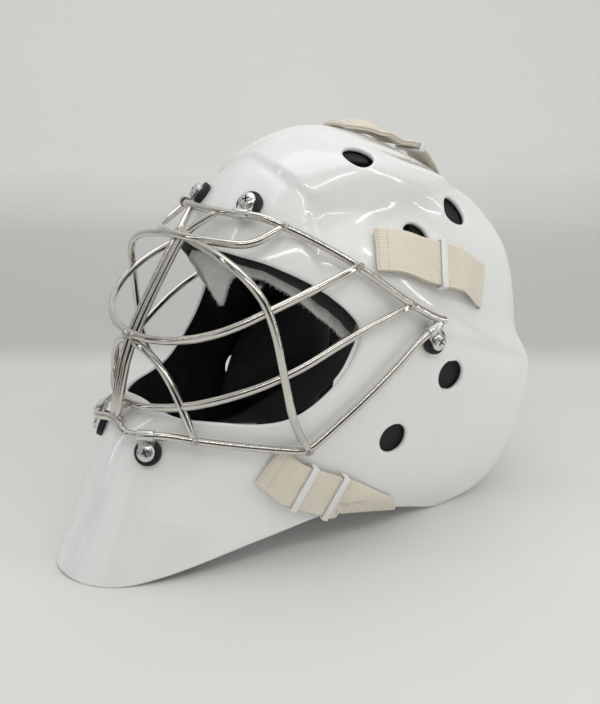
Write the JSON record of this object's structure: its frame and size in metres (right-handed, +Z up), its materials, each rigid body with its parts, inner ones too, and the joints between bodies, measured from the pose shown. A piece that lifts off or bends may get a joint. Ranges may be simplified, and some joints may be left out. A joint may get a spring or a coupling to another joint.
{
  "type": "hockey goalie mask",
  "caption": "Hard-shell hockey goalie mask with a welded wire cage on clips, foam liners, elastic straps with slides, and a sprung backplate.",
  "frame": {"origin": "middle of the footprint's box, on the surface that the mask stands on", "axes": "+Z up, the face looks along -Y, +X is the wearer's left"},
  "size_m": [0.2304, 0.3462, 0.285],
  "materials": {
    "white_laminate": "glossy white gel coat over black laminate",
    "white_plastic": "glossy moulded",
    "white_slide": "satin moulded",
    "chromed_wire": "polished",
    "bright_steel": "plated",
    "black_nut": "matte",
    "black_rubber": "matte",
    "black_foam": "matte closed-cell foam",
    "grey_felt": "brushed pile",
    "cream_elastic": "ribbed woven elastic",
    "black_webbing": "black woven elastic"
  },
  "bodies": {
    "mask": {"shell": "white_laminate", "brow_pad": "black_foam", "sweatband": "grey_felt", "temple_pads": "black_foam", "jaw_pads": "black_foam", "crown_pad": "black_foam", "cage_frame": "chromed_wire", "centre_bars": "chromed_wire", "upper_bar": "chromed_wire", "lower_bar": "chromed_wire", "eye_wires": "chromed_wire", "cheek_wires": "chromed_wire", "visor_loop": "chromed_wire", "clips": "bright_steel", "clip_washers": "black_rubber", "clip_screws": "bright_steel", "clip_nuts": "black_nut", "top_strap": "cream_elastic", "side_strap_left": "cream_elastic", "side_strap_right": "cream_elastic", "chin_strap_left": "cream_elastic", "chin_strap_right": "cream_elastic", "top_inner_strap": "cream_elastic", "side_inner_left": "cream_elastic", "side_inner_right": "cream_elastic", "jaw_inner_left": "black_webbing", "jaw_inner_right": "black_webbing"},
    "backplate": {"backplate": "white_plastic", "backplate_pad": "black_foam", "plate_rivets": "bright_steel"},
    "top_slide": {"top_slide": "white_slide"},
    "side_slide_left": {"side_slide_left": "white_slide"},
    "side_slide_right": {"side_slide_right": "white_slide"},
    "front_slide_left": {"front_slide_left": "white_slide"},
    "front_slide_right": {"front_slide_right": "white_slide"},
    "rear_slide_left": {"rear_slide_left": "white_slide"},
    "rear_slide_right": {"rear_slide_right": "white_slide"}
  },
  "joints": [
    {"name": "backplate_pull", "type": "slide", "parent": "mask", "child": "backplate", "axis": [0, 1, 0], "range_m": [0, 0.025], "stiffness_N_per_m": 600, "springref_m": -0.01, "deforming": ["top_inner_strap", "side_inner_left", "side_inner_right", "jaw_inner_left", "jaw_inner_right"]},
    {"name": "top_slide_travel", "type": "slide", "parent": "mask", "child": "top_slide", "axis": [0, 0.9038, -0.4279], "range_m": [-0.004, 0]},
    {"name": "side_slide_left_travel", "type": "slide", "parent": "mask", "child": "side_slide_left", "axis": [0.1184, 0.9451, -0.3045], "range_m": [-0.003, 0.012]},
    {"name": "side_slide_right_travel", "type": "slide", "parent": "mask", "child": "side_slide_right", "axis": [-0.1184, 0.9451, -0.3045], "range_m": [-0.003, 0.012]},
    {"name": "front_slide_left_travel", "type": "slide", "parent": "mask", "child": "front_slide_left", "axis": [0.1656, 0.8721, -0.4605], "range_m": [-0.002, 0.008]},
    {"name": "front_slide_right_travel", "type": "slide", "parent": "mask", "child": "front_slide_right", "axis": [-0.1656, 0.8721, -0.4605], "range_m": [-0.002, 0.008]},
    {"name": "rear_slide_left_travel", "type": "slide", "parent": "mask", "child": "rear_slide_left", "axis": [0.1656, 0.8721, -0.4605], "range_m": [-0.008, 0.003]},
    {"name": "rear_slide_right_travel", "type": "slide", "parent": "mask", "child": "rear_slide_right", "axis": [-0.1656, 0.8721, -0.4605], "range_m": [-0.008, 0.003]}
  ]
}
